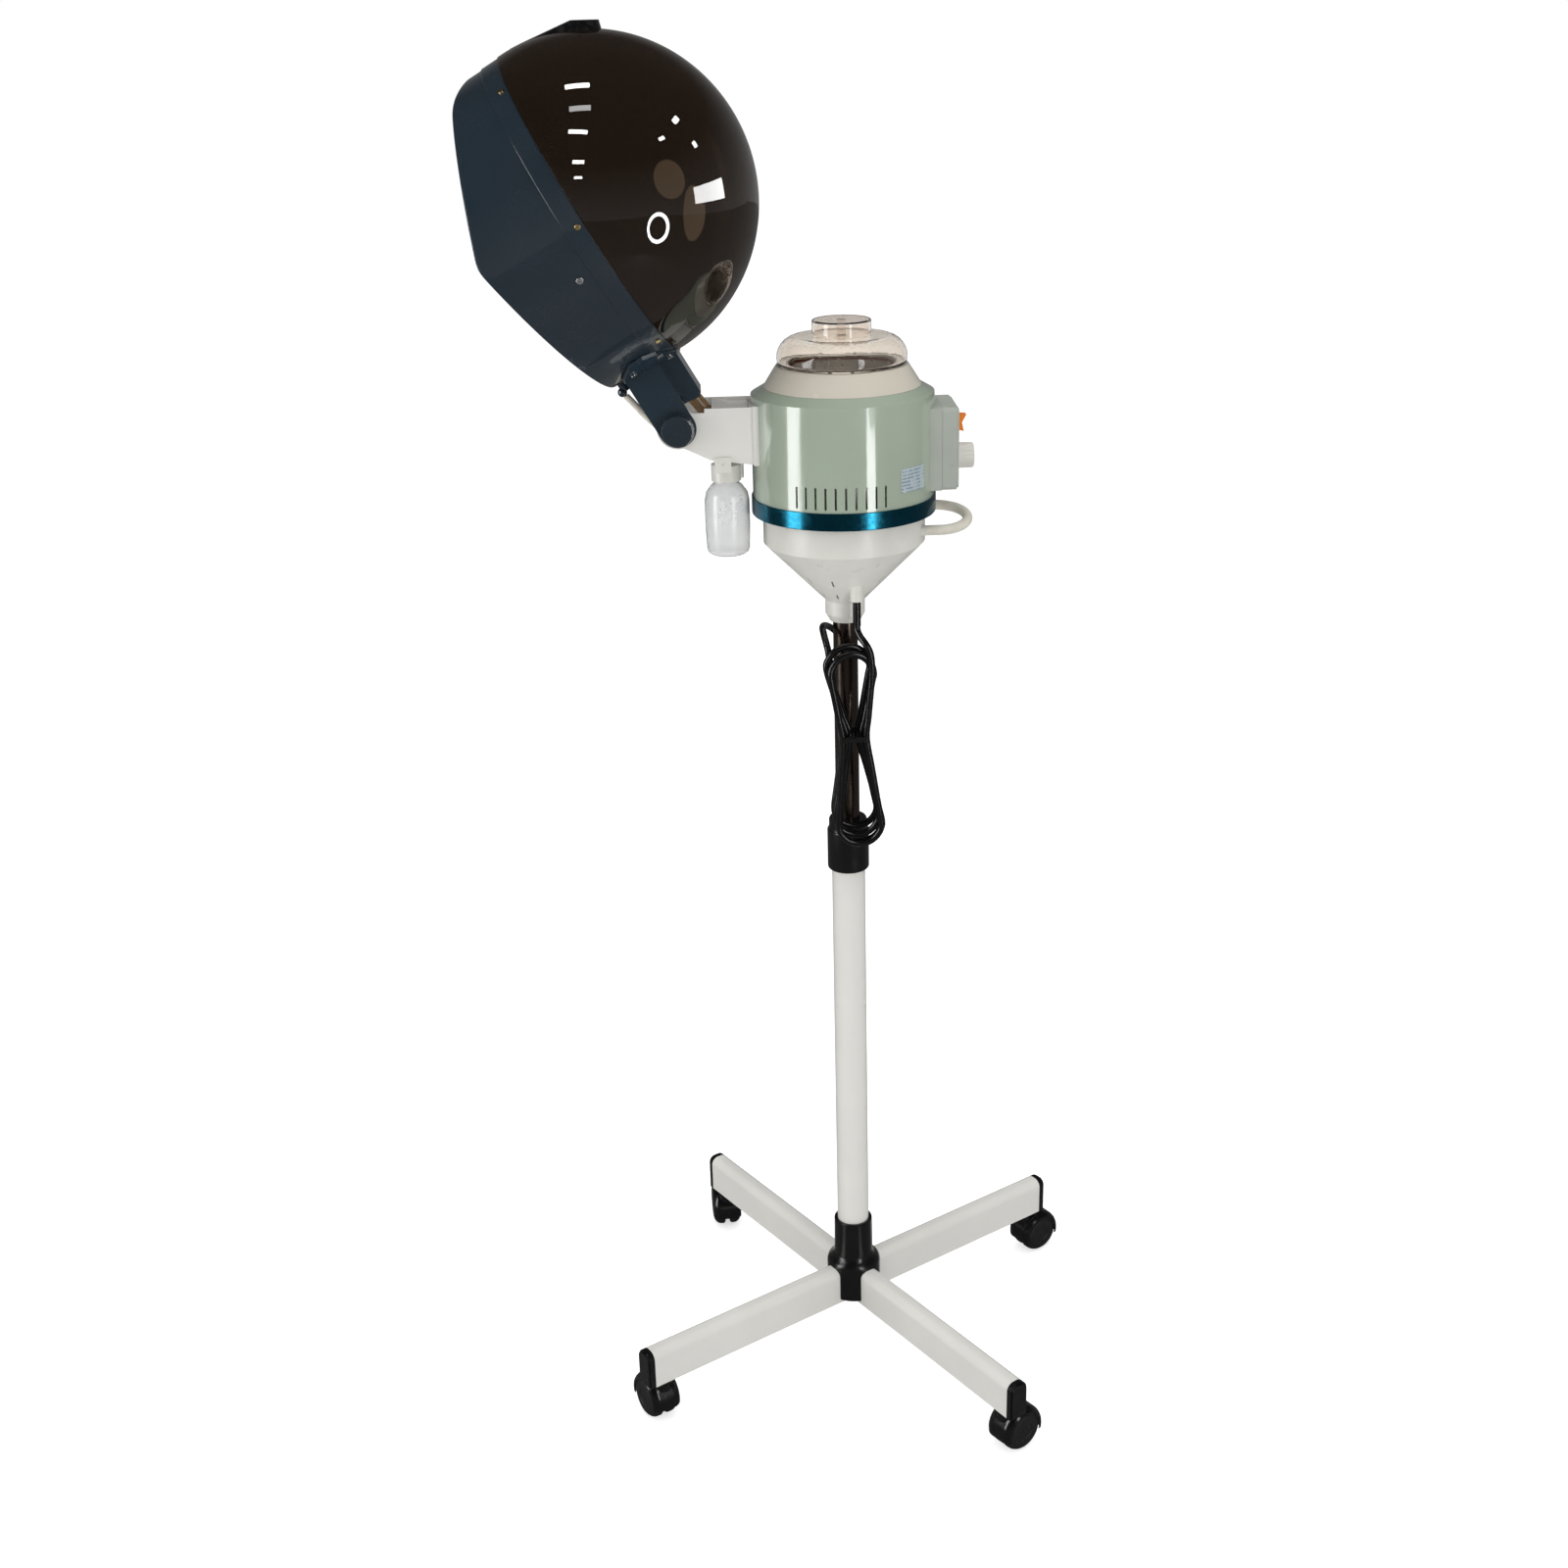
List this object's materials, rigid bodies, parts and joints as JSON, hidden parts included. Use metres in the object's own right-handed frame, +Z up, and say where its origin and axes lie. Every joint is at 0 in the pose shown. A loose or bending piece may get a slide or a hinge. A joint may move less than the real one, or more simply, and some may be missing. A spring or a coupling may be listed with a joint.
{
  "type": "hair steamer",
  "caption": "Salon hood hair steamer: tilting smoked hood on an arm, water heater head with timer box, height-adjustable column on a rolling cross base.",
  "frame": {"origin": "on the floor under the casters, on the axis of the column", "axes": "+Z up along the column; the hood's arm points to -X and the control box to +X"},
  "size_m": [0.6072, 0.5057, 1.4285],
  "materials": {
    "amber_silicone": "translucent amber silicone",
    "black_plastic": "moulded, satin gloss",
    "blue_metal": "metallic blue lacquer, gloss",
    "brass": "turned",
    "bronze_tube": "dark bronze lacquer on steel",
    "cable_black": "PVC sheath, satin gloss",
    "clear_plastic": "translucent, blow moulded",
    "cream_enamel": "cream stove enamel",
    "grey_nylon": "moulded, matt",
    "heater_sheath": "annealed sheath",
    "hose_white": "silicone, satin",
    "knob_plastic": "moulded, gloss",
    "label_foil": "blank foil",
    "orange_plastic": "moulded, gloss",
    "red_silicone": "soft, matt",
    "sage_enamel": "pale sage stove enamel",
    "slate_metal": "slate blue enamel, gloss",
    "slate_plastic": "moulded slate blue, gloss",
    "smoke_dome": "translucent smoked brown acrylic, polished",
    "smoke_plastic": "translucent smoked acrylic, polished",
    "stainless": "drawn, bright",
    "steel_zinc": "zinc plated",
    "tread": "hard nylon, matt",
    "white_enamel": "white powder coat",
    "white_plastic": "moulded, satin"
  },
  "bodies": {
    "base": {"base_hub": "black_plastic", "base_arm_back_right": "white_enamel", "base_arm_back_left": "white_enamel", "base_arm_front_left": "white_enamel", "base_arm_front_right": "white_enamel", "arm_end_caps": "black_plastic", "hub_screws": "steel_zinc", "lower_tube": "white_enamel", "collet_bush": "grey_nylon"},
    "collar": {"height_collar": "black_plastic"},
    "column": {"upper_tube": "bronze_tube", "guide_bush": "grey_nylon"},
    "head": {"column_socket": "steel_zinc", "funnel_housing": "white_plastic", "trim_ring": "blue_metal", "body_shell": "sage_enamel", "top_cone": "cream_enamel", "boiler": "stainless", "heating_element": "heater_sheath", "boiler_gasket": "red_silicone", "control_box": "white_plastic", "control_box_cover": "white_plastic", "rating_label": "label_foil", "drain_hose": "hose_white", "hose_barbs": "white_plastic", "arm_channel": "white_enamel", "arm_cover": "white_enamel", "steam_outlet": "stainless", "steam_hose": "amber_silicone", "hinge_pin": "steel_zinc", "condensate_tube": "hose_white", "bottle_cap": "white_plastic", "strain_relief": "cable_black", "cord_lead": "cable_black", "cord_hank": "cable_black", "cord_tie": "black_plastic", "cord_tail": "cable_black", "mains_plug": "black_plastic"},
    "tank_lid": {"tank_cover": "smoke_plastic", "cover_knob": "knob_plastic"},
    "rocker": {"power_switch": "orange_plastic"},
    "timer": {"timer_knob": "white_plastic"},
    "tilt_clamp": {"hinge_knob": "slate_plastic"},
    "hood": {"tilt_bracket": "slate_metal", "bracket_screws": "steel_zinc", "hood_skirt": "slate_plastic", "hood_dome": "smoke_dome", "hood_screws": "brass", "dome_vent_cap": "black_plastic", "steam_nozzle": "stainless", "condensate_elbow": "slate_plastic"},
    "bottle": {"condensate_bottle": "clear_plastic"},
    "fork_back_right": {"caster_yoke_back_right": "black_plastic"},
    "wheels_back_right": {"caster_wheels_back_right": "tread"},
    "fork_back_left": {"caster_yoke_back_left": "black_plastic"},
    "wheels_back_left": {"caster_wheels_back_left": "tread"},
    "fork_front_left": {"caster_yoke_front_left": "black_plastic"},
    "wheels_front_left": {"caster_wheels_front_left": "tread"},
    "fork_front_right": {"caster_yoke_front_right": "black_plastic"},
    "wheels_front_right": {"caster_wheels_front_right": "tread"}
  },
  "joints": [
    {"name": "caster_swivel_back_right", "type": "hinge", "parent": "base", "child": "fork_back_right", "pos_m": [0.21973, 0.1427, 0.06], "axis": [0, 0, 1], "continuous": true},
    {"name": "caster_roll_back_right", "type": "hinge", "parent": "fork_back_right", "child": "wheels_back_right", "pos_m": [0.23245, 0.15064, 0.024], "axis": [-0.5299, 0.848, 0], "continuous": true},
    {"name": "caster_swivel_back_left", "type": "hinge", "parent": "base", "child": "fork_back_left", "pos_m": [-0.1427, 0.21973, 0.06], "axis": [0, 0, 1], "continuous": true},
    {"name": "caster_roll_back_left", "type": "hinge", "parent": "fork_back_left", "child": "wheels_back_left", "pos_m": [-0.144, 0.23467, 0.024], "axis": [-0.9962, -0.0872, 0], "continuous": true},
    {"name": "caster_swivel_front_left", "type": "hinge", "parent": "base", "child": "fork_front_left", "pos_m": [-0.21973, -0.1427, 0.06], "axis": [0, 0, 1], "continuous": true},
    {"name": "caster_roll_front_left", "type": "hinge", "parent": "fork_front_left", "child": "wheels_front_left", "pos_m": [-0.227, -0.12958, 0.024], "axis": [-0.8746, -0.4848, 0], "continuous": true},
    {"name": "caster_swivel_front_right", "type": "hinge", "parent": "base", "child": "fork_front_right", "pos_m": [0.1427, -0.21973, 0.06], "axis": [0, 0, 1], "continuous": true},
    {"name": "caster_roll_front_right", "type": "hinge", "parent": "fork_front_right", "child": "wheels_front_right", "pos_m": [0.15483, -0.21091, 0.024], "axis": [-0.5878, 0.809, 0], "continuous": true},
    {"name": "collar_twist", "type": "hinge", "parent": "base", "child": "collar", "pos_m": [0, 0, 0.61], "axis": [0, 0, 1], "range_deg": [0, 60]},
    {"name": "height_slide", "type": "slide", "parent": "base", "child": "column", "axis": [0, 0, 1], "range_m": [-0.19, 0.12]},
    {"name": "head_swivel", "type": "hinge", "parent": "column", "child": "head", "pos_m": [0, 0, 0.9], "axis": [0, 0, 1], "range_deg": [-180, 180]},
    {"name": "hood_tilt", "type": "hinge", "parent": "head", "child": "hood", "pos_m": [-0.16, 0, 1.062], "axis": [0, 1, 0], "range_deg": [-30, 15], "deforming": ["steam_hose", "condensate_tube"]},
    {"name": "tilt_clamp_turn", "type": "hinge", "parent": "head", "child": "tilt_clamp", "pos_m": [-0.16, -0.04, 1.062], "axis": [0, -1, 0], "range_deg": [0, 270]},
    {"name": "lid_lift", "type": "slide", "parent": "head", "child": "tank_lid", "axis": [0, 0, 1], "range_m": [0, 0.04]},
    {"name": "switch_rock", "type": "hinge", "parent": "head", "child": "rocker", "pos_m": [0.1085, 0, 1.055], "axis": [0, -1, 0], "range_deg": [0, 16]},
    {"name": "timer_turn", "type": "hinge", "parent": "head", "child": "timer", "pos_m": [0.12, 0, 1.021], "axis": [-1, 0, 0], "range_deg": [0, 300]},
    {"name": "bottle_draw", "type": "slide", "parent": "head", "child": "bottle", "axis": [0, 0, -1], "range_m": [0, 0.06]}
  ]
}
